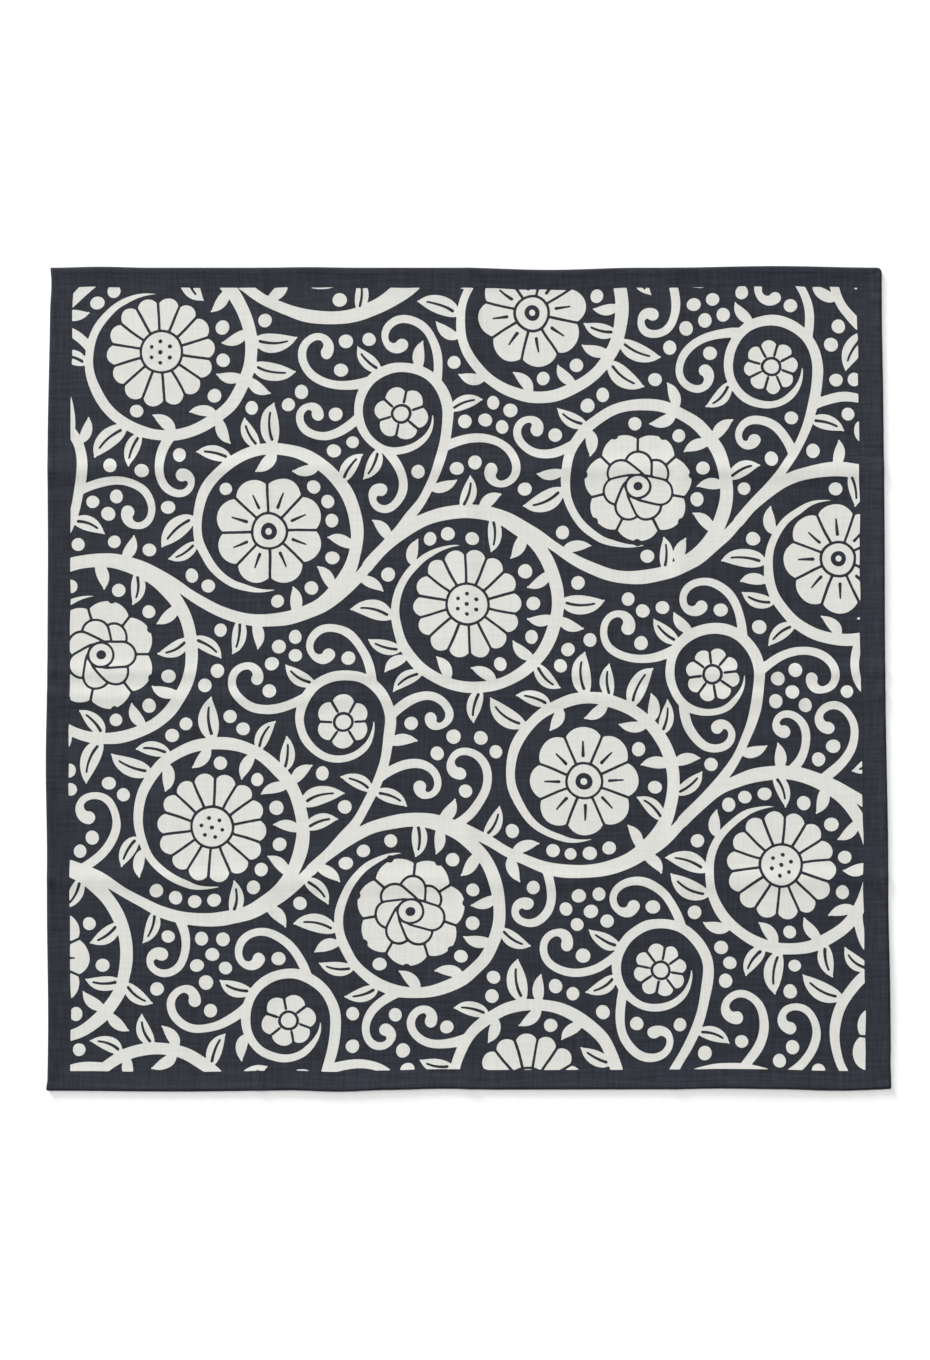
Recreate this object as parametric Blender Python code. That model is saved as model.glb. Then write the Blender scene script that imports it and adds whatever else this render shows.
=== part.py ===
"""A square cotton bandana with a narrow rolled hem, laid flat with its printed face up.

Metres, +Z up. +X runs along the lower edge and +Y up the cloth. The origin is on the surface that the
cloth lies on, under the middle of its bounding box. The cloth is one piece: its hem is turned from the
same cloth, so it is part of the same solid.
"""

import math

import bmesh
import bpy
from mathutils import Vector

# Driving dimensions of the hemmed square. It is a little wider at the bottom, its top leans left, and its
# lower right corner is drawn up a little.
TOP_WIDTH = 0.5261
BOTTOM_WIDTH = 0.5350
HEIGHT = 0.5209
TOP_LEAN = -0.0016
CORNER_LIFT = 0.0012

# Thickness of the cloth and of the hem, whose rolled edge is half round
CLOTH_THICK = 0.0010
HEM_THICK = 0.0017
HEM_WIDTH = 0.0036
HEM_ROUND = 0.00035
HEM_SLOPE = 0.0009

# Widest spacing of the points across plain cloth, and the stations across half of a fold
PLAIN_STEP = 0.024
FOLD_STATIONS = 2

# How far the outline wanders from a straight line between two corners, over the last share of an edge
# that runs into a corner it fades out
CORNER_FADE = 0.012
EDGE_SWELLS = (
    # edge, middle (share of the edge), reach (share), outwards (m)
    ("left", 0.60, 0.45, 0.00060),
    ("left", 0.79, 0.16, 0.00080),
    ("left", 0.40, 0.12, 0.00085),
    ("left", 0.07, 0.17, -0.00115),
    ("left", 0.98, 0.035, -0.00070),
    ("right", 0.50, 0.26, -0.00075),
    ("right", 0.22, 0.10, -0.00045),
    ("right", 0.93, 0.08, -0.00025),
    ("right", 0.03, 0.02, -0.00030),
    ("top", 0.06, 0.06, 0.00060),
    ("top", 0.31, 0.06, 0.00035),
    ("top", 0.60, 0.11, -0.00135),
    ("top", 0.87, 0.13, 0.00100),
    ("bottom", 0.16, 0.16, 0.00070),
    ("bottom", 0.345, 0.06, 0.00095),
    ("bottom", 0.47, 0.07, -0.00070),
    ("bottom", 0.80, 0.07, -0.00045),
    ("bottom", 0.94, 0.08, 0.00110),
)

CORNER_ROUNDS = (
    # corner, radius (m)
    ("bottom_left", 0.0012),
    ("bottom_right", 0.0009),
    ("top_left", 0.0008),
    ("top_right", 0.0030),
)

# Creases left from folding the square in quarters each way. Those that run across lie at a height y, and
# those that run up lie at an x. A ridge has its crest on the line. A trough has a soft shoulder on each
# side of it. The bow is how far the middle of the line is from its straight course.
FOLDS = (
    # runs, shape, place (m), bow (m), reach (m), then lift at the start, the middle and the end (m)
    ("across", "ridge", 0.1325, 0.0016, 0.010, 0.00095, 0.00060, 0.00080),
    ("across", "trough", -0.0030, -0.0012, 0.008, 0.00070, 0.00040, 0.00055),
    ("across", "ridge", -0.1265, -0.0014, 0.010, 0.00080, 0.00050, 0.00065),
    ("up", "ridge", -0.1310, 0.0010, 0.009, 0.00035, 0.00025, 0.00050),
    ("up", "ridge", 0.0005, -0.0012, 0.010, 0.00055, 0.00040, 0.00075),
    ("up", "ridge", 0.1320, 0.0014, 0.009, 0.00040, 0.00055, 0.00035),
)

# Broad low rises where the relaxed cloth stands off the surface
RISES = (
    # x (m), y (m), reach along x (m), reach along y (m), lift (m)
    (-0.222, 0.205, 0.070, 0.048, 0.00035),
    (0.268, 0.062, 0.030, 0.090, 0.00045),
    (0.205, 0.262, 0.085, 0.026, 0.00030),
    (-0.270, -0.070, 0.030, 0.080, 0.00040),
    (-0.072, -0.262, 0.080, 0.030, 0.00040),
    (0.190, -0.262, 0.070, 0.028, 0.00035),
    (0.268, -0.200, 0.028, 0.060, 0.00040),
    (0.062, -0.062, 0.058, 0.046, 0.00025),
    (-0.070, 0.190, 0.050, 0.044, 0.00025),
)

# Dark blue cotton: linear colour, and a dull finish
NAVY = (0.034, 0.038, 0.049, 1.0)
ROUGHNESS = 0.9

MEAN_WIDTH = (TOP_WIDTH + BOTTOM_WIDTH) / 2
OUTWARD = {
    "left": Vector((-1, 0)),
    "right": Vector((1, 0)),
    "bottom": Vector((0, -1)),
    "top": Vector((0, 1)),
}
CORNERS = {
    "bottom_left": Vector((-BOTTOM_WIDTH / 2, -HEIGHT / 2)),
    "bottom_right": Vector((BOTTOM_WIDTH / 2, -HEIGHT / 2 + CORNER_LIFT)),
    "top_left": Vector((TOP_LEAN - TOP_WIDTH / 2, HEIGHT / 2)),
    "top_right": Vector((TOP_LEAN + TOP_WIDTH / 2, HEIGHT / 2)),
}
EDGE_ENDS = {
    "left": ("bottom_left", "top_left"),
    "right": ("bottom_right", "top_right"),
    "bottom": ("bottom_left", "bottom_right"),
    "top": ("top_left", "top_right"),
}


def bump(distance, reach):
    """A raised cosine: 1 in the middle, and 0 from the reach outwards."""
    if abs(distance) >= reach:
        return 0.0
    return 0.5 * (1 + math.cos(math.pi * distance / reach))


def edge_point(edge, share):
    """A point of the outline, at this share of the way from the edge's first corner to its second."""
    start, end = (CORNERS[name] for name in EDGE_ENDS[edge])
    swell = 0.0
    for name, middle, reach, out in EDGE_SWELLS:
        if name == edge:
            swell += out * bump(share - middle, reach)
    fade = min(1.0, share / CORNER_FADE, (1 - share) / CORNER_FADE)
    return start.lerp(end, share) + OUTWARD[edge] * swell * fade


def across_sheet(u, v):
    """A point of the sheet in plan, from shares of its width and height, spanned between its four edges."""
    between_sides = edge_point("left", v).lerp(edge_point("right", v), u)
    between_ends = edge_point("bottom", u).lerp(edge_point("top", u), v)
    low = CORNERS["bottom_left"].lerp(CORNERS["bottom_right"], u)
    high = CORNERS["top_left"].lerp(CORNERS["top_right"], u)
    return between_sides + between_ends - low.lerp(high, v)


def round_corner(along_x, along_y):
    """The same place with the square's corners rounded. Distances are from the left and the lower edge."""
    for corner, radius in CORNER_ROUNDS:
        middle_x = MEAN_WIDTH - radius if "right" in corner else radius
        middle_y = HEIGHT - radius if "top" in corner else radius
        x = along_x - middle_x
        y = along_y - middle_y
        beyond_x = x > 0 if "right" in corner else x < 0
        beyond_y = y > 0 if "top" in corner else y < 0
        if beyond_x and beyond_y:
            scale = max(abs(x), abs(y)) / math.hypot(x, y)
            return middle_x + x * scale, middle_y + y * scale
    return along_x, along_y


def plan(along_x, along_y):
    """Where a point of the flat square lies, from its distances to the left and the lower edge."""
    x, y = round_corner(along_x, along_y)
    return across_sheet(x / MEAN_WIDTH, y / HEIGHT)


def fold_lift(point, runs, shape, place, bow, reach, start, middle, end):
    """How far one crease lifts the cloth at this point."""
    along, off = (point.x, point.y) if runs == "across" else (point.y, point.x)
    share = min(max(along / HEIGHT + 0.5, 0.0), 1.0)
    arch = math.sin(math.pi * share)
    off -= place + bow * arch
    lift = start + (end - start) * share + (middle - (start + end) / 2) * arch
    if shape == "ridge":
        return lift * bump(off, reach)
    return lift * (bump(off - reach, reach) + bump(off + reach, reach))


def lift_at(point):
    """How far the underside stands off the surface at this point."""
    creases = max(fold_lift(point, *fold) for fold in FOLDS)
    rises = 0.0
    for x, y, wide, high, lift in RISES:
        rises += lift * bump(math.hypot((point.x - x) / wide, (point.y - y) / high), 1.0)
    return creases + rises


def thickness_at(inset):
    """Thickness of the cloth at this distance in from its edge."""
    if inset >= HEM_WIDTH + HEM_SLOPE / 2:
        return CLOTH_THICK
    if inset > HEM_WIDTH - HEM_SLOPE / 2:
        share = (HEM_WIDTH + HEM_SLOPE / 2 - inset) / HEM_SLOPE
        return CLOTH_THICK + (HEM_THICK - CLOTH_THICK) * share
    return HEM_THICK


def stations(length, runs):
    """Distances from one edge to the other, close together over the hem and over the creases."""
    hem = [0.0, HEM_ROUND, 3 * HEM_ROUND, HEM_WIDTH - HEM_SLOPE / 2, HEM_WIDTH + HEM_SLOPE / 2]
    found = hem + [length - distance for distance in hem]
    for way, shape, place, _, reach, *_ in FOLDS:
        if way == runs:
            span = FOLD_STATIONS * (2 if shape == "trough" else 1)
            found += [length / 2 + place + reach * k / FOLD_STATIONS for k in range(-span, span + 1)]
    found.sort()
    filled = [found[0]]
    for place in found[1:]:
        gap = place - filled[-1]
        steps = math.ceil(gap / PLAIN_STEP)
        filled += [place - gap * (steps - k) / steps for k in range(1, steps)]
        filled.append(place)
    return filled


def cloth_mesh():
    """The whole bandana as one closed mesh: upper face, underside, and the round edge between them."""
    columns = stations(MEAN_WIDTH, "up")
    rows = stations(HEIGHT, "across")
    last_column = len(columns) - 2
    last_row = len(rows) - 2
    bm = bmesh.new()

    def raised(i, j, share):
        """The vertex at this column and row, this share of the thickness above the underside."""
        x, y = columns[i], rows[j]
        inset = min(x, MEAN_WIDTH - x, y, HEIGHT - y)
        point = plan(x, y)
        return bm.verts.new((*point, lift_at(point) + share * thickness_at(inset)))

    inner = [(i, j) for i in range(1, last_column + 1) for j in range(1, last_row + 1)]
    top = {place: raised(*place, 1.0) for place in inner}
    underside = {place: raised(*place, 0.0) for place in inner}
    for i in range(1, last_column):
        for j in range(1, last_row):
            square = [(i, j), (i + 1, j), (i + 1, j + 1), (i, j + 1)]
            bm.faces.new([top[place] for place in square])
            bm.faces.new([underside[place] for place in reversed(square)])

    border = [(i, 1) for i in range(1, last_column)]
    border += [(last_column, j) for j in range(1, last_row)]
    border += [(i, last_row) for i in range(last_column, 1, -1)]
    border += [(1, j) for j in range(last_row, 1, -1)]
    outermost = {1: 0, last_column: last_column + 1}
    uppermost = {1: 0, last_row: last_row + 1}
    rim = [raised(outermost.get(i, i), uppermost.get(j, j), 0.5) for i, j in border]
    for k, place in enumerate(border):
        after = (k + 1) % len(border)
        bm.faces.new([rim[k], rim[after], top[border[after]], top[place]])
        bm.faces.new([underside[place], underside[border[after]], rim[after], rim[k]])

    mesh = bpy.data.meshes.new("bandana_cloth")
    bm.to_mesh(mesh)
    bm.free()
    return mesh


def centre_on_origin(mesh):
    """Moves the mesh so that the middle of its bounding box, seen from above, is over the origin."""
    across = [vertex.co.x for vertex in mesh.vertices]
    up = [vertex.co.y for vertex in mesh.vertices]
    middle = Vector(((min(across) + max(across)) / 2, (min(up) + max(up)) / 2, 0))
    for vertex in mesh.vertices:
        vertex.co -= middle


def cotton():
    """Dull dark blue cotton."""
    material = bpy.data.materials.new("printed_cotton")
    material.use_nodes = True
    shader = material.node_tree.nodes["Principled BSDF"]
    shader.inputs["Base Color"].default_value = NAVY
    shader.inputs["Roughness"].default_value = ROUGHNESS
    shader.inputs["Metallic"].default_value = 0.0
    return material


for old in list(bpy.data.objects):
    bpy.data.objects.remove(old)

cloth = cloth_mesh()
centre_on_origin(cloth)
cloth.shade_smooth()
cloth.materials.append(cotton())
bandana = bpy.data.objects.new("bandana_cloth", cloth)
bpy.context.scene.collection.objects.link(bandana)
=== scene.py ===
"""A square cotton bandana, printed in dark blue with a pale scroll of blossoms, hemmed and laid flat.

Metres, +Z up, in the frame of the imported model: +X along the lower edge, +Y up the cloth, and the origin on
the surface that the cloth lies on, under the middle of its bounding box.
"""

import math
import random

import bmesh
import bpy
import numpy as np
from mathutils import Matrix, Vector
from mathutils.geometry import delaunay_2d_cdt


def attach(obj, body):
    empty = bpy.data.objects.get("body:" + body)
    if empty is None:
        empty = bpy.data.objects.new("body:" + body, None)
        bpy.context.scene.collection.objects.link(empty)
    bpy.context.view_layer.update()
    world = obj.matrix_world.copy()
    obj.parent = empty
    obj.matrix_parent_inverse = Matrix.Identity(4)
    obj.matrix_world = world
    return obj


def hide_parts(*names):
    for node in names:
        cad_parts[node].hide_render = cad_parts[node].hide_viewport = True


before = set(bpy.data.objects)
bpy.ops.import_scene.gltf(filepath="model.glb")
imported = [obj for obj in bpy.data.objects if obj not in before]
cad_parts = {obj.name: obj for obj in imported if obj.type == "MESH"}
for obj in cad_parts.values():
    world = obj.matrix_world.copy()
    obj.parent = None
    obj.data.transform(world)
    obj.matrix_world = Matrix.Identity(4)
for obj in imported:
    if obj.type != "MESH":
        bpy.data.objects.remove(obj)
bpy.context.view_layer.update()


# The cloth: one square of thin plain-weave cotton, printed on its face and folded in quarters each way. Laid
# out again, its outline wanders a little, soft creases cross it, and its hem puckers a little on its thread.

# Hemmed square. It is a little wider at the bottom, its top leans left, and its lower right corner is drawn up.
TOP_WIDTH = 0.5261
BOTTOM_WIDTH = 0.5350
HEIGHT = 0.5209
TOP_LEAN = -0.0016
CORNER_LIFT = 0.0012
MEAN_WIDTH = (TOP_WIDTH + BOTTOM_WIDTH) / 2
CLOTH_THICK = 0.0010

# How far the outline wanders from a straight line between two corners, over the last share of an edge that
# runs into a corner it fades out
CORNER_FADE = 0.012
EDGE_SWELLS = (
    # edge, middle (share of the edge), reach (share), outwards (m)
    ("left", 0.60, 0.45, 0.00060),
    ("left", 0.79, 0.16, 0.00080),
    ("left", 0.40, 0.12, 0.00085),
    ("left", 0.07, 0.17, -0.00115),
    ("left", 0.98, 0.035, -0.00070),
    ("right", 0.50, 0.26, -0.00075),
    ("right", 0.22, 0.10, -0.00045),
    ("right", 0.93, 0.08, -0.00025),
    ("right", 0.03, 0.02, -0.00030),
    ("top", 0.06, 0.06, 0.00060),
    ("top", 0.31, 0.06, 0.00035),
    ("top", 0.60, 0.11, -0.00135),
    ("top", 0.87, 0.13, 0.00100),
    ("bottom", 0.16, 0.16, 0.00070),
    ("bottom", 0.345, 0.06, 0.00095),
    ("bottom", 0.47, 0.07, -0.00070),
    ("bottom", 0.80, 0.07, -0.00045),
    ("bottom", 0.94, 0.08, 0.00110),
)
CORNER_ROUNDS = (
    # corner, radius (m)
    ("bottom_left", 0.0012),
    ("bottom_right", 0.0009),
    ("top_left", 0.0008),
    ("top_right", 0.0030),
)

# Creases. Those that run across lie at a height y, and those that run up lie at an x. A ridge has its crest on
# the line. A trough has a soft shoulder on each side of it. The bow is how far the line's middle is from
# its straight course.
FOLDS = (
    # runs, shape, place (m), bow (m), reach (m), then lift at the start, the middle and the end (m)
    ("across", "ridge", 0.1325, 0.0016, 0.010, 0.00095, 0.00060, 0.00080),
    ("across", "trough", -0.0030, -0.0012, 0.008, 0.00070, 0.00040, 0.00055),
    ("across", "ridge", -0.1265, -0.0014, 0.010, 0.00080, 0.00050, 0.00065),
    ("up", "ridge", -0.1310, 0.0010, 0.009, 0.00035, 0.00025, 0.00050),
    ("up", "ridge", 0.0005, -0.0012, 0.010, 0.00055, 0.00040, 0.00075),
    ("up", "ridge", 0.1320, 0.0014, 0.009, 0.00040, 0.00055, 0.00035),
)

# Broad low rises where the relaxed cloth stands off the surface
RISES = (
    # x (m), y (m), reach along x (m), reach along y (m), lift (m)
    (-0.222, 0.205, 0.070, 0.048, 0.00035),
    (0.268, 0.062, 0.030, 0.090, 0.00045),
    (0.205, 0.262, 0.085, 0.026, 0.00030),
    (-0.270, -0.070, 0.030, 0.080, 0.00040),
    (-0.072, -0.262, 0.080, 0.030, 0.00040),
    (0.190, -0.262, 0.070, 0.028, 0.00035),
    (0.268, -0.200, 0.028, 0.060, 0.00040),
    (0.062, -0.062, 0.058, 0.046, 0.00025),
    (-0.070, 0.190, 0.050, 0.044, 0.00025),
)

OUTWARD = {"left": (-1, 0), "right": (1, 0), "bottom": (0, -1), "top": (0, 1)}
CORNERS = {
    "bottom_left": np.array((-BOTTOM_WIDTH / 2, -HEIGHT / 2)),
    "bottom_right": np.array((BOTTOM_WIDTH / 2, -HEIGHT / 2 + CORNER_LIFT)),
    "top_left": np.array((TOP_LEAN - TOP_WIDTH / 2, HEIGHT / 2)),
    "top_right": np.array((TOP_LEAN + TOP_WIDTH / 2, HEIGHT / 2)),
}
EDGE_ENDS = {
    "left": ("bottom_left", "top_left"),
    "right": ("bottom_right", "top_right"),
    "bottom": ("bottom_left", "bottom_right"),
    "top": ("top_left", "top_right"),
}


def bump(distance, reach):
    """A raised cosine: 1 in the middle, and 0 from the reach outwards."""
    return 0.5 * (1 + np.cos(math.pi * np.clip(distance / reach, -1, 1)))


def between(start, end, share):
    """Points at these shares of the way from start to end."""
    return start + (end - start) * share[:, None]


def edge_points(edge, share):
    """Points of the outline, at these shares of the way from the edge's first corner to its second."""
    start, end = (CORNERS[name] for name in EDGE_ENDS[edge])
    swell = sum(out * bump(share - middle, reach) for name, middle, reach, out in EDGE_SWELLS if name == edge)
    fade = np.minimum(1, np.minimum(share, 1 - share) / CORNER_FADE)
    return between(start, end, share) + np.outer(swell * fade, OUTWARD[edge])


def round_corners(flat):
    """The same places with the square's corners rounded. Distances are from the left and the lower edge."""
    flat = flat.copy()
    for corner, radius in CORNER_ROUNDS:
        way_x = 1 if "right" in corner else -1
        way_y = 1 if "top" in corner else -1
        middle_x = MEAN_WIDTH - radius if way_x > 0 else radius
        middle_y = HEIGHT - radius if way_y > 0 else radius
        off_x = (flat[:, 0] - middle_x) * way_x
        off_y = (flat[:, 1] - middle_y) * way_y
        beyond = (off_x > 0) & (off_y > 0)
        scale = np.maximum(off_x, off_y)[beyond] / np.hypot(off_x, off_y)[beyond]
        flat[beyond, 0] = middle_x + way_x * off_x[beyond] * scale
        flat[beyond, 1] = middle_y + way_y * off_y[beyond] * scale
    return flat


def plan(flat):
    """Where points of the flat square lie, spanned between its four edges."""
    flat = round_corners(flat)
    u = flat[:, 0] / MEAN_WIDTH
    v = flat[:, 1] / HEIGHT
    sides = edge_points("left", v) * (1 - u)[:, None] + edge_points("right", v) * u[:, None]
    ends = edge_points("bottom", u) * (1 - v)[:, None] + edge_points("top", u) * v[:, None]
    low = between(CORNERS["bottom_left"], CORNERS["bottom_right"], u)
    high = between(CORNERS["top_left"], CORNERS["top_right"], u)
    return sides + ends - low * (1 - v)[:, None] - high * v[:, None]


def fold_lift(place, runs, shape, line, bow, reach, start, middle, end):
    """How far one crease lifts the cloth at these places."""
    along, off = (place[:, 0], place[:, 1]) if runs == "across" else (place[:, 1], place[:, 0])
    share = np.clip(along / HEIGHT + 0.5, 0, 1)
    arch = np.sin(math.pi * share)
    off = off - line - bow * arch
    lift = start + (end - start) * share + (middle - (start + end) / 2) * arch
    if shape == "ridge":
        return lift * bump(off, reach)
    return lift * (bump(off - reach, reach) + bump(off + reach, reach))


def lift_at(place):
    """How far the underside stands off the surface at these places."""
    lift = np.max([fold_lift(place, *fold) for fold in FOLDS], axis=0)
    for x, y, wide, high, rise in RISES:
        lift += rise * bump(np.hypot((place[:, 0] - x) / wide, (place[:, 1] - y) / high), 1.0)
    return lift


# The printed scroll, drawn on the flat print from its lower left corner. Where the drawing is above zero the
# cotton is left pale, and its value is the distance inside the edge of the dark blue.
PRINT_LEFT = 0.0142
PRINT_RIGHT = 0.0155
PRINT_LOW = 0.0124
PRINT_HIGH = 0.0126
PRINT_WIDTH = MEAN_WIDTH - PRINT_LEFT - PRINT_RIGHT
PRINT_HEIGHT = HEIGHT - PRINT_LOW - PRINT_HIGH
DRAWING_STEP = 0.0005
SEEN_FROM = 0.010
DOT_STEP = 0.0008

draw_x, draw_y = np.meshgrid(
    np.arange(DRAWING_STEP / 2, PRINT_WIDTH, DRAWING_STEP),
    np.arange(DRAWING_STEP / 2, PRINT_HEIGHT, DRAWING_STEP),
)
drawing = np.full(draw_x.shape, -SEEN_FROM)

# The edges wander as a hand-cut stencil does: two slow waves each way, in reach and in length
CUT_WANDER = (
    # reach (m), length (m), cross length (m), cross share, start
    (0.00030, 0.0061, 0.0083, 1.3, 0.0),
    (0.00016, 0.0035, 0.0051, 0.8, 4.0),
)


def hand_cut(along, across, turn):
    """How far the cut edge is off, from the distances along and across."""
    off = 0
    for reach, length, cross_length, cross_share, start in CUT_WANDER:
        off = off + reach * np.sin(along / length + cross_share * np.sin(across / cross_length) + start + turn)
    return off


cut_x = draw_x + hand_cut(draw_x, draw_y, 0.0)
cut_y = draw_y + hand_cut(draw_y, draw_x, 2.0)


def window(low, high):
    """The rows and columns of the drawing between two corners."""
    first = np.maximum((np.asarray(low) / DRAWING_STEP).astype(int), 0)
    last = np.minimum((np.asarray(high) / DRAWING_STEP).astype(int) + 2, drawing.shape[::-1])
    return slice(first[1], max(last[1], first[1])), slice(first[0], max(last[0], first[0]))


def brushed(path, half, seen_from):
    """The part of the drawing near a brush stroke, and how deep in the stroke each place of that part is."""
    path = np.reshape(path, (-1, 2))
    half = np.broadcast_to(half, len(path))
    edge = seen_from + half.max()
    rows, columns = window(path.min(0) - edge, path.max(0) + edge)
    depth = np.full((rows.stop - rows.start, columns.stop - columns.start), -np.inf)
    for (x, y), wide in zip(path, half):
        near_rows, near_columns = window((x - wide - seen_from, y - wide - seen_from),
                                         (x + wide + seen_from, y + wide + seen_from))
        part = (slice(near_rows.start - rows.start, near_rows.stop - rows.start),
                slice(near_columns.start - columns.start, near_columns.stop - columns.start))
        away = np.hypot(cut_x[near_rows, near_columns] - x, cut_y[near_rows, near_columns] - y)
        depth[part] = np.maximum(depth[part], wide - away)
    return (rows, columns), depth


def leave_pale(path, half, moat=0.0):
    """A pale stroke, with a dark moat of this width cut round it out of what is already pale."""
    part, depth = brushed(path, half, SEEN_FROM)
    if moat:
        drawing[part] = np.minimum(drawing[part], -(depth + moat))
    drawing[part] = np.maximum(drawing[part], depth)


def lay_blue(path, half):
    """A dark blue stroke."""
    part, depth = brushed(path, half, SEEN_FROM / 3)
    drawing[part] = np.minimum(drawing[part], -depth)


def evenly(path):
    """The same line with its points a brush dot apart."""
    run = np.r_[0, np.cumsum(np.hypot(*np.diff(path, axis=0).T))]
    stops = np.linspace(0, run[-1], max(3, int(run[-1] / DOT_STEP)))
    return np.c_[np.interp(stops, run, path[:, 0]), np.interp(stops, run, path[:, 1])]


def swelling(path, *halves):
    """Half widths along a stroke that passes evenly through these."""
    return np.interp(np.linspace(0, 1, len(path)), np.linspace(0, 1, len(halves)), halves)


def heading(angle):
    return np.array((math.cos(angle), math.sin(angle)))


def swung(start, start_way, end, end_way, pull):
    """A smooth line from start to end that leaves and arrives in these directions."""
    s = np.linspace(0, 1, 60)[:, None]
    reach = pull * math.hypot(*(end - start))
    leaving = (2 * s**3 - 3 * s**2 + 1) * start + (s**3 - 2 * s**2 + s) * start_way * reach
    return evenly(leaving + (3 * s**2 - 2 * s**3) * end + (s**3 - s**2) * end_way * reach)


def wound(centre, outer, inner, start, hand, ease):
    """One turn of a stem round a blossom, from the outer radius in to the inner one."""
    s = np.linspace(0, 1, 240)
    angle = start + hand * 2 * math.pi * s
    radius = outer + (inner - outer) * s**ease
    return evenly(centre + np.c_[radius * np.cos(angle), radius * np.sin(angle)])


def spoke(centre, angle, inner, outer):
    return evenly(centre + np.outer((inner, outer), heading(angle)))


def ring(centre, radius):
    angle = np.linspace(0, 2 * math.pi, 80)
    return centre + radius * np.c_[np.cos(angle), np.sin(angle)]


def petals(centre, count, turn, inner, outer, half):
    """A crown of round-ended petals."""
    for k in range(count):
        path = spoke(centre, turn + 2 * math.pi * k / count, inner, outer - half)
        leave_pale(path, swelling(path, 0.45 * half, 0.8 * half, half, half))


def parting_lines(centre, count, turn, inner, outer, half):
    """Dark lines between the petals."""
    for k in range(count):
        lay_blue(spoke(centre, turn + 2 * math.pi * (k + 0.5) / count, inner, outer), half)


# Stems wind alternately over and under a row of large wheels, and each wheel ends at a blossom. A side stem
# winds round a small blossom in each gap between the rows. The rows lean, and each wheel is a little off.
WHEEL = 0.0580
WHEEL_PITCH = 0.1185
WHEEL_ZIGZAG = 0.0322
ROW_SHIFT = 0.0600
ROW_PITCH = 0.1845
ROW_LEAN = math.radians(7)
FIRST_WHEEL = np.array((-0.060, -0.085))
SMALL_WHEEL = 0.0300
SMALL_FROM_WHEEL = (-0.0266, 0.1250)
SMALL_LANDS = -0.2
WANDER = 0.003
LARGE_BLOSSOM = 0.0345
SMALL_BLOSSOM = 0.0170
MOAT = 0.0026
LINE = 0.0009
BLOSSOMS = ("daisy", "rosette", "eightfold")

stems = []


def stem(path, hand, *halves):
    """Prints a stem and keeps it, so that leaves can grow from it."""
    leave_pale(path, swelling(path, *halves))
    stems.append((path, min(halves[:2]), hand))


def blossom(centre, radius, kind, turn):
    """A blossom seen from its front, in a dark moat."""
    lay_blue(centre, radius + MOAT)
    if kind == "daisy":
        petals(centre, 14, turn, 0.40 * radius, radius, 0.19 * radius)
        parting_lines(centre, 14, turn, 0.42 * radius, 1.05 * radius, LINE)
        leave_pale(centre, 0.36 * radius)
        lay_blue(ring(centre, 0.38 * radius), LINE)
        for k in range(6):
            lay_blue(centre + 0.19 * radius * heading(turn + 2 * math.pi * k / 6), 0.0013)
        lay_blue(centre, 0.0014)
    elif kind == "eightfold":
        petals(centre, 8, turn, 0.30 * radius, radius, 0.345 * radius)
        parting_lines(centre, 8, turn, 0.34 * radius, 1.04 * radius, LINE)
        for k in range(8):
            line = spoke(centre, turn + 2 * math.pi * k / 8, 0.46 * radius, 0.72 * radius)
            lay_blue(line, swelling(line, 0.0011, 0.0006))
        leave_pale(centre, 0.30 * radius)
        lay_blue(ring(centre, 0.32 * radius), LINE)
        lay_blue(centre, 0.15 * radius)
        leave_pale(centre, 0.06 * radius)
    elif kind == "rosette":
        petals(centre, 7, turn, 0.30 * radius, radius, 0.42 * radius)
        parting_lines(centre, 7, turn, 0.50 * radius, 1.04 * radius, LINE)
        for k in range(7):
            lay_blue(centre + 1.03 * radius * heading(turn + 2 * math.pi * k / 7), 0.07 * radius)
        for k in range(7):
            inner = spoke(centre, turn + 2 * math.pi * (k + 0.5) / 7, 0.12 * radius, 0.40 * radius)
            leave_pale(inner, 0.22 * radius, 0.0016)
        leave_pale(centre, 0.20 * radius, 0.0016)
        lay_blue(centre, 0.085 * radius)
    else:
        count = 8 if kind == "small daisy" else 6
        petals(centre, count, turn, 0.40 * radius, radius, 2.4 / count * radius)
        parting_lines(centre, count, turn, 0.45 * radius, 1.05 * radius, LINE)
        leave_pale(centre, 0.30 * radius)
        lay_blue(ring(centre, 0.33 * radius), LINE)


random.seed(4)
lean = np.array(((math.cos(ROW_LEAN), math.sin(ROW_LEAN)), (-math.sin(ROW_LEAN), math.cos(ROW_LEAN))))
vines = []
for row in range(-1, 5):
    vine = []
    for k in range(-2, 7):
        hand = 1 if k % 2 else -1
        level = np.array((k * WHEEL_PITCH + row * ROW_SHIFT, row * ROW_PITCH + hand * WHEEL_ZIGZAG)) @ lean
        off = (random.uniform(-WANDER, WANDER), random.uniform(-WANDER, WANDER))
        radius = WHEEL + random.uniform(-WANDER, WANDER) / 2
        turn = random.uniform(0, 1)
        vine.append((FIRST_WHEEL + level + off, radius, hand, BLOSSOMS[(k + 2 * row) % 3], turn))
    vines.append(vine)

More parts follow.
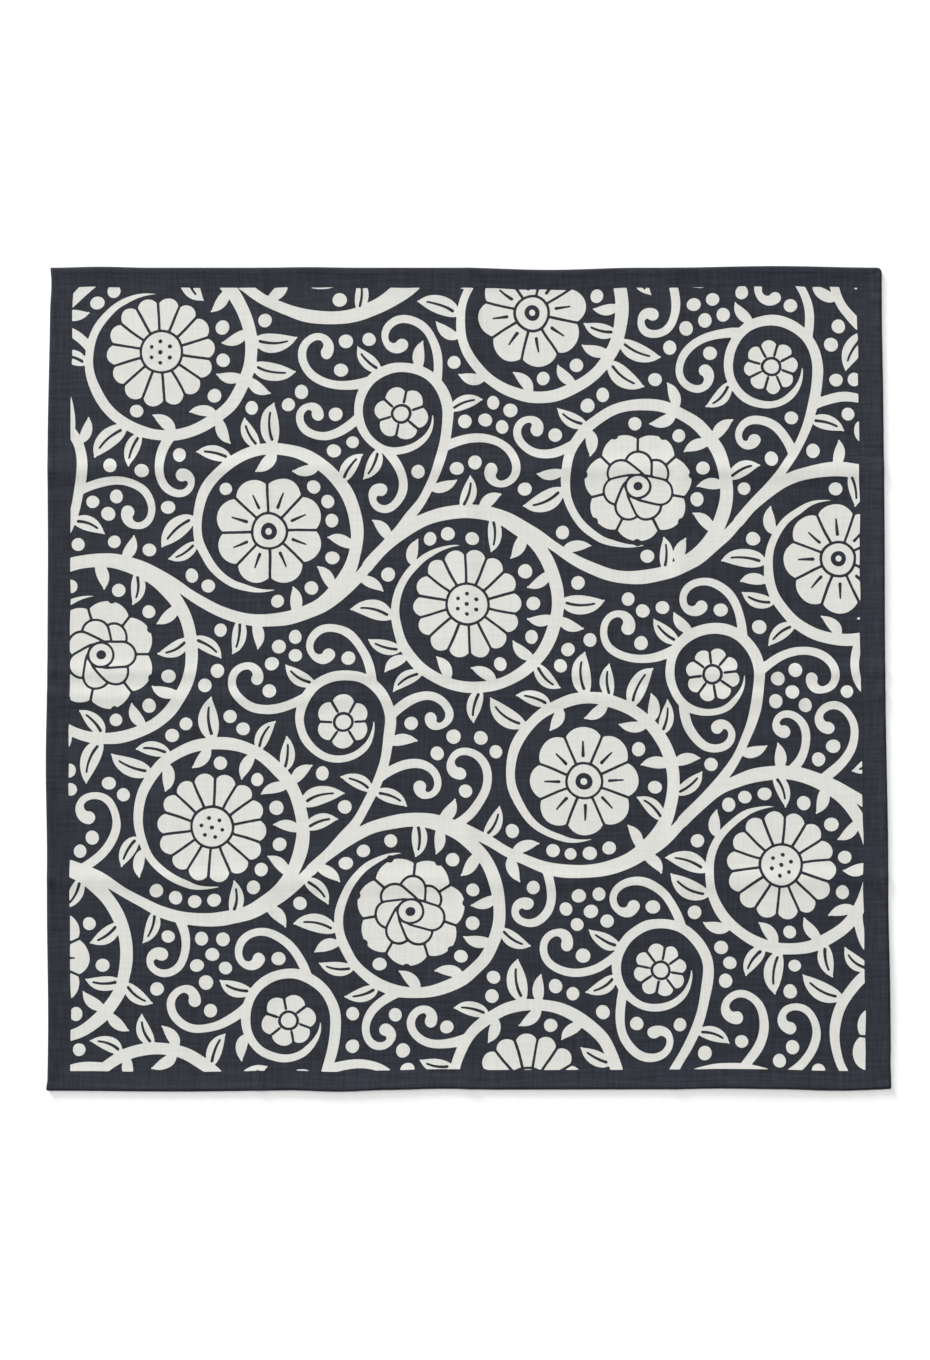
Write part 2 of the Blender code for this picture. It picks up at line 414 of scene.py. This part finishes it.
small_blossoms = []
for vine in vines:
    for (centre, radius, hand, _, _), (after, next_radius, next_hand, _, _) in zip(vine, vine[1:]):
        way = heading(ROW_LEAN)
        start = centre + radius * heading(ROW_LEAN - hand * math.pi / 2)
        end = after + next_radius * heading(ROW_LEAN - next_hand * math.pi / 2)
        path = swung(start, way, end, way, 1.3)
        stem(path, next_hand, 0.0043, 0.0031, 0.0043)
        if next_hand < 0:
            fork = len(path) // 2
            leaving = path[fork + 1] - path[fork]
            small = after + np.array(SMALL_FROM_WHEEL) @ lean
            lands = ROW_LEAN + SMALL_LANDS
            side = swung(path[fork], leaving / math.hypot(*leaving), small + SMALL_WHEEL * heading(lands),
                         heading(lands + math.pi / 2), 1.2)
            stem(side, 1, 0.0036, 0.0028, 0.0034)
            stem(wound(small, SMALL_WHEEL, SMALL_BLOSSOM + 0.0015, lands, 1, 2.2), 1, 0.0034, 0.0030, 0.0018)
            small_blossoms.append(small)
for vine in vines:
    for centre, radius, hand, _, _ in vine:
        start = ROW_LEAN - hand * math.pi / 2
        path = wound(centre, radius, LARGE_BLOSSOM + 0.001, start, hand, 2.0)
        stem(path, hand, 0.0043, 0.0040, 0.0033, 0.0018)
for vine in vines:
    for centre, _, _, kind, turn in vine:
        blossom(centre, LARGE_BLOSSOM, kind, turn)
for k, centre in enumerate(small_blossoms):
    blossom(centre, SMALL_BLOSSOM, ("small daisy", "small sixfold")[k % 2], 9 * centre[0])


# Curls and leaves grow from the stems wherever they have room, the largest first, and berries fill what is left
ROOM = 0.0033
VEIN_FROM = 0.021
BERRY_ROOM = 0.0072
BERRY = 0.0043
GROWTH = (
    # form, size (m), spacing along a stem (m), angles to the stem (degrees)
    ("curl", 0.0160, 0.0240, (30, 50)),
    ("curl", 0.0125, 0.0140, (30, 50)),
    ("leaf", 0.0280, 0.0140, (50, 35, 65)),
    ("leaf", 0.0215, 0.0190, (50, 65)),
    ("leaf", 0.0170, 0.0300, (52, 65)),
)


def leaf(base, angle, length, bend):
    """A curved pointed leaf from its base: its line and half widths."""
    s = np.linspace(0, 1, 40)
    way = angle + bend * s
    path = base + np.cumsum(np.c_[np.cos(way), np.sin(way)], axis=0) * length / len(s)
    return path, np.maximum(0.215 * length * np.sin(math.pi * s**0.8) ** 0.85, 0.0006)


def curl(base, angle, radius, hand):
    """A tendril that winds in to a round head: its line and half widths."""
    s = np.linspace(0, 1, 90)
    way = angle + hand * np.cumsum(2 * math.pi * (0.25 + 1.5 * s**1.3)) / len(s)
    step = 2 * math.pi * 0.85 * radius * (1.35 - 0.7 * s) / len(s)
    path = base + np.cumsum(np.c_[np.cos(way) * step, np.sin(way) * step], axis=0)
    return path, np.interp(s, (0, 0.8, 0.92, 1), (0.0030, 0.0022, 0.0034, 0.0040))


def drawn_at(path):
    """The drawing's values along a line."""
    columns = np.clip((path[:, 0] / DRAWING_STEP).astype(int), 0, drawing.shape[1] - 1)
    rows = np.clip((path[:, 1] / DRAWING_STEP).astype(int), 0, drawing.shape[0] - 1)
    return drawing[rows, columns]


def shoots(form, size, base, out, half, angle, side):
    """The shapes to try at one place of a stem, with the share of each that may lie on its own stem."""
    root = half + ROOM + 0.004
    if form == "curl":
        share = root / (2 * math.pi * 0.85 * size)
        return [(curl(base, angle, size, side * hand), share) for hand in (1, -1)]
    return [(leaf(base + out * half / 2, angle, size, bend * side), root / size) for bend in (0.8, -0.7)]


def grow_at(path, i, half, side, form, size, angles):
    """Grows the first shape that has room at this place of a stem, on this side."""
    way = path[i + 1] - path[i]
    out = side * np.array((-way[1], way[0])) / math.hypot(*way)
    for angle in angles:
        turned = math.atan2(way[1], way[0]) + side * math.radians(angle)
        for (line, halves), share in shoots(form, size, path[i], out, half, turned, side):
            free = slice(int(share * len(line)), None)
            if np.all(drawn_at(line[free]) < -(halves[free] + ROOM)):
                leave_pale(line, halves)
                if form == "leaf" and size > VEIN_FROM:
                    vein = line[len(line) // 8:int(0.78 * len(line))]
                    lay_blue(vein, swelling(vein, 0.0010, 0.0007))
                return


for form, size, spacing, angles in GROWTH:
    step = round(spacing / DOT_STEP)
    for k, (path, half, hand) in enumerate(stems):
        for i in range(4 + 7 * k % step, int(0.9 * len(path)), step):
            if np.all(np.abs(path[i] - (PRINT_WIDTH / 2, PRINT_HEIGHT / 2)) < PRINT_WIDTH / 2 + 0.02):
                grow_at(path, i, half, hand, form, size, angles)
                grow_at(path, i, half, -hand, form, size, angles)

while True:
    room = np.minimum(-drawing, BERRY + ROOM)
    most = np.unravel_index(np.argmax(room), room.shape)
    if room[most] < BERRY_ROOM:
        break
    leave_pale((draw_x[most], draw_y[most]), room[most] - ROOM)

# The stencil ends in a straight hand-cut edge
from_sides = np.minimum(cut_x, PRINT_WIDTH - cut_x)
from_ends = np.minimum(cut_y, PRINT_HEIGHT - cut_y)
drawing = np.minimum(drawing, np.minimum(from_sides, from_ends))
drawing = np.pad(drawing, 1, constant_values=-DRAWING_STEP)


# The sheet's mesh. Its edges follow the edges of the print, so that they stay crisp at any distance.
TURN_PER_EDGE = math.radians(24)
LONGEST_EDGE = 0.0032
SHORTEST_LOOP = 0.003


def print_edges():
    """The closed lines where the drawing passes through zero, as points from the flat cloth's lower left."""
    pale = drawing > 0
    rows, columns = drawing.shape
    flat_cross = pale[:, 1:] != pale[:, :-1]
    up_cross = pale[1:] != pale[:-1]
    r, c = np.nonzero(flat_cross)
    share = drawing[r, c] / (drawing[r, c] - drawing[r, c + 1])
    names = [r * columns + c]
    places = [np.c_[c + share, r]]
    r, c = np.nonzero(up_cross)
    share = drawing[r, c] / (drawing[r, c] - drawing[r + 1, c])
    names.append((rows + r) * columns + c)
    places.append(np.c_[c, r + share])
    names = np.concatenate(names)
    order = np.argsort(names)
    names = names[order]
    places = (np.concatenate(places)[order] - 0.5) * DRAWING_STEP + (PRINT_LEFT, PRINT_LOW)

    # Each square of the drawing joins the crossings on its sides in pairs
    r, c = np.indices((rows - 1, columns - 1))
    crossed = {"low": flat_cross[:-1], "high": flat_cross[1:], "left": up_cross[:, :-1], "right": up_cross[:, 1:]}
    name_of = {
        "low": r * columns + c,
        "high": (r + 1) * columns + c,
        "left": (rows + r) * columns + c,
        "right": (rows + r) * columns + c + 1,
    }
    saddle = crossed["low"] & crossed["high"] & crossed["left"] & crossed["right"]
    middle = drawing[:-1, :-1] + drawing[1:, :-1] + drawing[:-1, 1:] + drawing[1:, 1:] > 0
    joined = saddle & (middle == pale[:-1, :-1])
    pairs = []
    sides = list(crossed)
    for k, a in enumerate(sides):
        for b in sides[k + 1:]:
            here = crossed[a] & crossed[b] & ~saddle
            if (a, b) in (("low", "right"), ("high", "left")):
                here = here | joined
            if (a, b) in (("low", "left"), ("high", "right")):
                here = here | (saddle & ~joined)
            pairs.append(np.c_[name_of[a][here], name_of[b][here]])
    pairs = np.searchsorted(names, np.concatenate(pairs))
    ends = np.concatenate((pairs, pairs[:, ::-1]))
    mates = ends[np.argsort(ends[:, 0], kind="stable"), 1].reshape(-1, 2).tolist()

    walked = [False] * len(mates)
    for first in range(len(mates)):
        loop = []
        last, here = -1, first
        while not walked[here]:
            walked[here] = True
            loop.append(here)
            onward = mates[here][0] if mates[here][0] != last else mates[here][1]
            last, here = here, onward
        if loop:
            yield places[loop]


def thinned(loop):
    """A closed line with points only where it turns, anticlockwise, or None if it is too small to print."""
    closed = np.vstack((loop, loop[:1]))
    run = np.r_[0, np.cumsum(np.hypot(*np.diff(closed, axis=0).T))]
    if run[-1] < SHORTEST_LOOP:
        return None
    stops = np.linspace(0, run[-1], max(8, int(run[-1] / DRAWING_STEP)), endpoint=False)
    even = np.c_[np.interp(stops, run, closed[:, 0]), np.interp(stops, run, closed[:, 1])]
    step = np.roll(even, -1, axis=0) - even
    way = np.arctan2(step[:, 1], step[:, 0])
    turn = np.abs((way - np.roll(way, 1) + math.pi) % (2 * math.pi) - math.pi)
    spent = np.cumsum(turn / TURN_PER_EDGE + np.hypot(*step.T) / LONGEST_EDGE)
    kept = np.unique(np.searchsorted(spent, np.arange(spent[0], spent[-1], 1.0)))
    if len(kept) < 5:
        kept = np.arange(0, len(even), max(1, len(even) // 6))
    found = even[kept]
    x, y = found.T
    return found if np.sum(x * np.roll(y, -1) - y * np.roll(x, -1)) > 0 else found[::-1]


# The plain cloth inside the hem, its points a small step apart, and closer beside a corner
HEM_INNER = 0.0044
EDGE_STEP = 0.0025
PLAIN_STEP = 0.0050
PRINT_CLEAR = 0.0013
CORNER_STOPS = (0.0004, 0.0008, 0.0013, 0.0020, 0.0030, 0.0042)


def side_shares(length):
    """Shares of a side from its first corner almost to its second."""
    near = np.array(CORNER_STOPS) / length
    plain = np.linspace(near[-1], 1 - near[-1], round(length / EDGE_STEP))
    return np.concatenate(((0.0,), near[:-1], plain, 1 - near[-2::-1]))


def border(inset):
    """Places round the flat square at this distance in from its edge, anticlockwise from the lower left."""
    low, wide, high = inset, MEAN_WIDTH - 2 * inset, HEIGHT - 2 * inset
    across = low + side_shares(MEAN_WIDTH) * wide
    up = low + side_shares(HEIGHT) * high
    return np.concatenate((
        np.c_[across, np.full(len(across), low)],
        np.c_[np.full(len(up), low + wide), up],
        np.c_[MEAN_WIDTH - across, np.full(len(across), low + high)],
        np.c_[np.full(len(up), low), HEIGHT - up],
    ))


loops = [loop for loop in map(thinned, print_edges()) if loop is not None]
rim = border(HEM_INNER)
plain_x, plain_y = np.meshgrid(
    np.arange(HEM_INNER + PLAIN_STEP / 2, MEAN_WIDTH - HEM_INNER - PLAIN_STEP / 3, PLAIN_STEP),
    np.arange(HEM_INNER + PLAIN_STEP / 2, HEIGHT - HEM_INNER - PLAIN_STEP / 3, PLAIN_STEP),
)
plain = np.c_[plain_x.ravel(), plain_y.ravel()]
column, row = ((plain - (PRINT_LEFT, PRINT_LOW)) / DRAWING_STEP + 1).astype(int).T
beside = (column < 0) | (column >= drawing.shape[1]) | (row < 0) | (row >= drawing.shape[0])
depth = drawing[row.clip(0, drawing.shape[0] - 1), column.clip(0, drawing.shape[1] - 1)]
plain = plain[beside | (np.abs(depth) > PRINT_CLEAR)]

given = [Vector(place) for place in np.concatenate((rim, *loops, plain)).tolist()]
rim_edges = [(k, (k + 1) % len(rim)) for k in range(len(rim))]
first = len(rim)
outlines = []
for loop in loops:
    outlines.append(list(range(first, first + len(loop))))
    first += len(loop)
flat, _, faces, came_from, _, inside = delaunay_2d_cdt(given, rim_edges, outlines, 0, 1e-7, True)
flat = np.array(flat)
faces = np.array(faces)
is_pale = np.array([len(found) % 2 for found in inside])
rim_at = {source: k for k, sources in enumerate(came_from) for source in sources if source < len(rim)}
rim_at = np.array([rim_at[k] for k in range(len(rim))])


# The hem: the edge is turned twice to the back and stitched down, which leaves it thicker and half round. The
# cloth beside it is carried up to it.
HEM_SPREAD = 0.011
HEM_SPREAD_RISE = 0.00045
HEM_PROFILE = (
    # distance in from the edge (m), height over the underside (m)
    (0.00405, 0.00150),
    (0.00365, 0.00157),
    (0.00315, 0.00163),
    (0.00275, 0.00160),
    (0.00235, 0.00166),
    (0.00150, 0.00170),
    (0.00080, 0.00160),
    (0.00028, 0.00128),
    (0.00000, 0.00085),
    (0.00028, 0.00040),
    (0.00080, 0.00008),
    (0.00150, 0.00000),
)


# The sewn edge ripples in two lengths of wave, most at the hem, and fades out inwards
PUCKER = 0.00007
PUCKER_LONG = 0.0127
PUCKER_SHORT = 0.0083
PUCKER_DRIFT = 0.031
PUCKER_FROM = 0.002
PUCKER_FADE = 0.012


def inset_of(flat_places):
    """How far in from the nearest edge these places are."""
    x, y = flat_places.T
    return np.minimum(np.minimum(x, MEAN_WIDTH - x), np.minimum(y, HEIGHT - y))


def pucker(flat_places):
    """How far the sewn edge ripples up off the surface."""
    x, y = flat_places.T
    inset = inset_of(flat_places)
    run = np.where(np.minimum(x, MEAN_WIDTH - x) < np.minimum(y, HEIGHT - y), y, x)
    ripple = np.sin(2 * math.pi * run / PUCKER_LONG + 2.1 * np.sin(run / PUCKER_DRIFT))
    ripple += np.sin(2 * math.pi * run / PUCKER_SHORT)
    return PUCKER * (2 + ripple) * bump(np.maximum(inset - PUCKER_FROM, 0), PUCKER_FADE)


def laid(flat_places, height):
    """Flat places as points of the laid cloth, this far above its underside."""
    place = plan(flat_places)
    return np.c_[place, lift_at(place) + pucker(flat_places) + height]


face_height = CLOTH_THICK + HEM_SPREAD_RISE * bump(np.maximum(inset_of(flat) - HEM_INNER, 0), HEM_SPREAD)
hem_flat = np.concatenate([border(inset) for inset, _ in HEM_PROFILE])
hem_height = np.repeat([height for _, height in HEM_PROFILE], len(rim))
points = np.concatenate((laid(flat, face_height), laid(hem_flat, hem_height), laid(flat, 0.0)))
cloth_flat = np.concatenate((flat, hem_flat, flat))
hem_first = len(flat)
back_first = hem_first + len(hem_flat)
rings = [rim_at]
rings += [hem_first + k * len(rim) + np.arange(len(rim)) for k in range(len(HEM_PROFILE))]
rings.append(back_first + rim_at)
hem_faces = []
for outer, inner in zip(rings[1:], rings):
    hem_faces.append(np.c_[outer, np.roll(outer, -1), np.roll(inner, -1), inner])
hem_faces = np.concatenate(hem_faces)

middle = (points[:, :2].max(0) + points[:, :2].min(0)) / 2
points[:, :2] -= middle
sheet_mesh = bpy.data.meshes.new("bandana_sheet")
all_faces = faces.tolist() + hem_faces.tolist() + (faces[:, ::-1] + back_first).tolist()
sheet_mesh.from_pydata(points.tolist(), [], all_faces)
FACE_BLUE, FACE_PALE, BACK_BLUE, BACK_PALE = range(4)
wears = np.concatenate((np.where(is_pale, FACE_PALE, FACE_BLUE), np.full(len(hem_faces), FACE_BLUE),
                        np.where(is_pale, BACK_PALE, BACK_BLUE)))
sheet_mesh.polygons.foreach_set("material_index", wears.astype(np.int32))
sheet_mesh.shade_smooth()
corner = np.zeros(len(sheet_mesh.loops), np.int32)
sheet_mesh.loops.foreach_get("vertex_index", corner)
thread_map = sheet_mesh.uv_layers.new(name="threads")
thread_map.uv.foreach_set("vector", cloth_flat[corner].astype(np.float32).ravel())
sheet_mesh.validate()

bandana = bpy.data.objects.new("bandana_sheet", sheet_mesh)
bpy.context.scene.collection.objects.link(bandana)
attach(bandana, "root")
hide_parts("bandana_cloth")


# Plain-weave cotton. The thread map gives each place of the cloth in metres along its two sets of threads. Some
# threads run thicker and take more dye, which leaves faint streaks both ways, and the dye is a little cloudy.
THREAD_PITCH = 0.00036


def add(tree, kind, inputs, **settings):
    """One shader node. Each input is given a value, or the output that it is linked from."""
    made = tree.nodes.new(kind)
    for name, value in settings.items():
        setattr(made, name, value)
    for socket, value in inputs.items():
        if isinstance(value, bpy.types.NodeSocket):
            tree.links.new(value, made.inputs[socket])
        else:
            made.inputs[socket].default_value = value
    return made


def sum_of(tree, operation, *values):
    return add(tree, "ShaderNodeMath", dict(enumerate(values)), operation=operation).outputs[0]


def noise(tree, place, wide, high, detail):
    """Soft noise whose features are this wide and high in metres, from 0 to 1."""
    scaled = add(tree, "ShaderNodeVectorMath", {0: place, 1: (1 / wide, 1 / high, 1)}, operation="MULTIPLY")
    return add(tree, "ShaderNodeTexNoise", {"Vector": scaled.outputs[0], "Scale": 1.0, "Detail": detail},
               noise_dimensions="2D").outputs[0]


def new_group(name, inputs, outputs):
    """An empty node group with these sockets, as name and kind, and its two ends."""
    tree = bpy.data.node_groups.new(name, "ShaderNodeTree")
    for way, sockets in (("INPUT", inputs), ("OUTPUT", outputs)):
        for socket, kind in sockets:
            tree.interface.new_socket(socket, in_out=way, socket_type="NodeSocket" + kind)
    return tree, tree.nodes.new("NodeGroupInput"), tree.nodes.new("NodeGroupOutput")


def finish_group(tree, end, **results):
    for name, value in results.items():
        tree.links.new(value, end.inputs[name])
    return tree


def weave_group():
    """The height of the threads over and under each other, from 0 to 1."""
    tree, start, end = new_group("plain_weave", [("Place", "Vector")], [("Height", "Float")])
    place = start.outputs["Place"]
    sides = add(tree, "ShaderNodeSeparateXYZ", {0: place}).outputs
    waves = []
    for along, wide, high in ((0, 0.009, 0.030), (1, 0.030, 0.009)):
        wander = noise(tree, place, wide, high, 1.0)
        turn = sum_of(tree, "MULTIPLY_ADD", sides[along], math.pi / THREAD_PITCH, 0.0)
        turn = sum_of(tree, "MULTIPLY_ADD", wander, 5.0, turn)
        waves.append(sum_of(tree, "SINE", turn))
    over = sum_of(tree, "MULTIPLY", *waves)
    threads = []
    for wave, sign in zip(waves, (0.45, -0.45)):
        lift = sum_of(tree, "MULTIPLY_ADD", over, sign, 0.55)
        threads.append(sum_of(tree, "MULTIPLY", sum_of(tree, "ABSOLUTE", wave), lift))
    return finish_group(tree, end, Height=sum_of(tree, "MAXIMUM", *threads))


def dye_group():
    """Streaks along the thicker threads, about -0.5 to 0.5, and the clouds of the dye, from 0 to 1."""
    tree, start, end = new_group("uneven_dye", [("Place", "Vector")], [("Streaks", "Float"), ("Clouds", "Float")])
    place = start.outputs["Place"]
    streaks = sum_of(tree, "ADD", noise(tree, place, 0.0017, 0.020, 2.0), noise(tree, place, 0.026, 0.0019, 2.0))
    clouds = noise(tree, place, 0.034, 0.031, 2.0)
    return finish_group(tree, end, Streaks=sum_of(tree, "SUBTRACT", streaks, 1.0), Clouds=clouds)


plain_weave = weave_group()
uneven_dye = dye_group()


def cotton(name, colour, other, streaks):
    """Dull cotton that drifts between two colours, with streaks of this strength."""
    material = bpy.data.materials.new(name)
    material.use_nodes = True
    tree = material.node_tree
    shader = tree.nodes["Principled BSDF"]
    place = add(tree, "ShaderNodeUVMap", {}, uv_map="threads").outputs[0]
    dye = add(tree, "ShaderNodeGroup", {}, node_tree=uneven_dye)
    weave = add(tree, "ShaderNodeGroup", {}, node_tree=plain_weave)
    for group in (dye, weave):
        tree.links.new(place, group.inputs["Place"])
    mixed = add(tree, "ShaderNodeMix", {0: dye.outputs["Clouds"], 6: (*colour, 1), 7: (*other, 1)},
                data_type="RGBA").outputs[2]
    gain = sum_of(tree, "MULTIPLY_ADD", dye.outputs["Streaks"], streaks, 1.0)
    dyed = add(tree, "ShaderNodeVectorMath", {0: mixed, "Scale": gain}, operation="SCALE").outputs[0]
    tree.links.new(dyed, shader.inputs["Base Color"])
    relief = sum_of(tree, "MULTIPLY_ADD", dye.outputs["Streaks"], 0.6, weave.outputs["Height"])
    bump_node = add(tree, "ShaderNodeBump", {"Strength": 0.5, "Distance": 0.00010, "Height": relief})
    tree.links.new(bump_node.outputs[0], shader.inputs["Normal"])
    shader.inputs["Roughness"].default_value = 0.65
    shader.inputs["Specular IOR Level"].default_value = 0.2
    shader.inputs["Sheen Weight"].default_value = 0.06
    shader.inputs["Sheen Roughness"].default_value = 0.5
    return material


for look in (
    ("blue_face", (0.0145, 0.0180, 0.0275), (0.0180, 0.0205, 0.0280), 1.1),
    ("pale_face", (0.616, 0.616, 0.583), (0.640, 0.634, 0.600), 0.12),
    ("blue_back", (0.0460, 0.0520, 0.0700), (0.0540, 0.0590, 0.0740), 0.8),
    ("pale_back", (0.430, 0.432, 0.418), (0.470, 0.468, 0.450), 0.2),
):
    sheet_mesh.materials.append(cotton(*look))


# Stitches: one row of lockstitches in blue cotton thread holds the hem down all round
STITCH_INSET = 0.00275
STITCH_PITCH = 0.0027
STITCH_LONG = 0.0021
THREAD_HALF = 0.00021
THREAD_PROUD = 0.00010
STITCH_BED = 0.00161
STITCH_DIVE = 0.00022
STITCH_STEPS = 6
THREAD_SIDES = 6
CORNER_CLEAR = 0.0040


def stitch_row(edge):
    """Where each stitch of one side begins and ends, on the flat square."""
    side = MEAN_WIDTH if edge in ("bottom", "top") else HEIGHT
    starts = np.arange(CORNER_CLEAR, side - CORNER_CLEAR - STITCH_LONG, STITCH_PITCH)
    starts = starts + np.array([random.uniform(-0.00012, 0.00012) for _ in starts])
    for start in starts.tolist():
        run = np.array((start, start + STITCH_LONG))
        off = STITCH_INSET + np.array([random.uniform(-0.00008, 0.00008) for _ in run])
        if edge == "bottom":
            yield np.c_[run, off]
        elif edge == "top":
            yield np.c_[run, HEIGHT - off]
        elif edge == "left":
            yield np.c_[off, run]
        else:
            yield np.c_[MEAN_WIDTH - off, run]


def add_stitch(mesh, ends):
    """A short round thread that rises out of the hem and dives back in."""
    s = np.linspace(0, 1, STITCH_STEPS)
    spine = laid(between(ends[0], ends[1], s), STITCH_BED)
    spine[:, :2] -= middle
    spine[:, 2] += THREAD_PROUD - THREAD_HALF - STITCH_DIVE * np.abs(2 * s - 1) ** 3
    way = spine[-1] - spine[0]
    way /= np.linalg.norm(way)
    across = np.cross((0.0, 0.0, 1.0), way)
    up = np.cross(way, across)
    rings = []
    for k in range(STITCH_STEPS):
        half = THREAD_HALF * (0.75 + 0.25 * math.sin(math.pi * s[k]))
        rings.append([mesh.verts.new(spine[k] + half * (math.cos(a) * across + math.sin(a) * up))
                      for a in np.arange(THREAD_SIDES) * 2 * math.pi / THREAD_SIDES])
    for first, second in zip(rings, rings[1:]):
        for k in range(THREAD_SIDES):
            mesh.faces.new((first[k - 1], first[k], second[k], second[k - 1])[::-1])
    mesh.faces.new(rings[0])
    mesh.faces.new(rings[-1][::-1])


stitch_mesh = bmesh.new()
for edge in ("left", "right", "bottom", "top"):
    for ends in stitch_row(edge):
        add_stitch(stitch_mesh, ends)
bmesh.ops.recalc_face_normals(stitch_mesh, faces=stitch_mesh.faces)
thread_mesh = bpy.data.meshes.new("hem_stitching")
stitch_mesh.to_mesh(thread_mesh)
stitch_mesh.free()
thread_mesh.shade_smooth()
stitching = bpy.data.objects.new("hem_stitching", thread_mesh)
bpy.context.scene.collection.objects.link(stitching)
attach(stitching, "root")


def thread_material():
    """Twisted blue thread."""
    material = bpy.data.materials.new("blue_thread")
    material.use_nodes = True
    tree = material.node_tree
    shader = tree.nodes["Principled BSDF"]
    place = add(tree, "ShaderNodeTexCoord", {}).outputs["Object"]
    shade = add(tree, "ShaderNodeTexNoise", {"Vector": place, "Scale": 900.0, "Detail": 2.0}).outputs[0]
    mixed = add(tree, "ShaderNodeMix", {0: shade, 6: (0.016, 0.019, 0.029, 1), 7: (0.034, 0.038, 0.050, 1)},
                data_type="RGBA").outputs[2]
    tree.links.new(mixed, shader.inputs["Base Color"])
    bump_node = add(tree, "ShaderNodeBump", {"Strength": 0.4, "Distance": 0.00005, "Height": shade})
    tree.links.new(bump_node.outputs[0], shader.inputs["Normal"])
    shader.inputs["Roughness"].default_value = 0.7
    shader.inputs["Specular IOR Level"].default_value = 0.3
    return material


thread_mesh.materials.append(thread_material())


# The ground: a plain white studio table, wide enough to fill every view
FLOOR_HALF = 6.0
FLOOR_BELOW = 0.0001
floor_mesh = bpy.data.meshes.new("ground")
floor_mesh.from_pydata(
    [(x * FLOOR_HALF, y * FLOOR_HALF, -FLOOR_BELOW) for x, y in ((-1, -1), (1, -1), (1, 1), (-1, 1))],
    [], [(0, 1, 2, 3)],
)
floor = bpy.data.objects.new("ground", floor_mesh)
bpy.context.scene.collection.objects.link(floor)
ground_material = bpy.data.materials.new("white_ground")
ground_material.use_nodes = True
ground_shader = ground_material.node_tree.nodes["Principled BSDF"]
ground_shader.inputs["Base Color"].default_value = (0.92, 0.92, 0.92, 1)
ground_shader.inputs["Roughness"].default_value = 0.9
ground_shader.inputs["Specular IOR Level"].default_value = 0.1
floor_mesh.materials.append(ground_material)


# Studio light: two wide far lamps, low and halfway up beyond the cloth's top left corner, and a soft box high up
LIGHT_FROM = (-0.56, 0.83)
LAMP_AWAY = 8


def far_light(name, low, high, strength):
    """A large far lamp that fills these elevations, in degrees."""
    turn = math.radians((low + high) / 2)
    light = bpy.data.lights.new(name, "SUN")
    light.angle = math.radians(high - low)
    light.energy = strength
    lamp = bpy.data.objects.new(name, light)
    place = Vector((*(side * math.cos(turn) for side in LIGHT_FROM), math.sin(turn)))
    lamp.location = place * LAMP_AWAY
    lamp.rotation_euler = (-place).to_track_quat("-Z", "Y").to_euler()
    bpy.context.scene.collection.objects.link(lamp)


def soft_box(name, turn, slant, width, power):
    """A square soft box at this elevation in degrees, this far off, that faces the cloth."""
    turn = math.radians(turn)
    light = bpy.data.lights.new(name, "AREA")
    light.size = width
    light.energy = power
    lamp = bpy.data.objects.new(name, light)
    place = Vector((*(side * math.cos(turn) for side in LIGHT_FROM), math.sin(turn))) * slant
    lamp.location = place
    lamp.rotation_euler = (-place).to_track_quat("-Z", "Y").to_euler()
    lamp.visible_camera = False
    bpy.context.scene.collection.objects.link(lamp)


far_light("low_lamp", 5, 20, 4.8)
far_light("middle_lamp", 20, 42, 0.75)
soft_box("high_box", 70, 8.0, 3.4, 470)

world = bpy.data.worlds.new("studio")
bpy.context.scene.world = world
world.use_nodes = True
background = world.node_tree.nodes["Background"]
background.inputs["Color"].default_value = (1, 1, 1, 1)
background.inputs["Strength"].default_value = 0.07


# Camera: straight above the cloth
PHOTO_WIDTH = 930
PHOTO_HEIGHT = 1360
PIXEL = 0.0006332
CLOTH_MIDDLE = (468.45, 678.75)
LENS = 85.0
SENSOR = 36.0
view = bpy.data.cameras.new("camera")
view.lens = LENS
view.sensor_width = SENSOR
camera = bpy.data.objects.new("camera", view)
camera.location = (
    (PHOTO_WIDTH / 2 - CLOTH_MIDDLE[0]) * PIXEL,
    (CLOTH_MIDDLE[1] - PHOTO_HEIGHT / 2) * PIXEL,
    PHOTO_HEIGHT * PIXEL * LENS / SENSOR,
)
bpy.context.scene.collection.objects.link(camera)
bpy.context.scene.camera = camera
bpy.context.scene.view_settings.view_transform = "Standard"
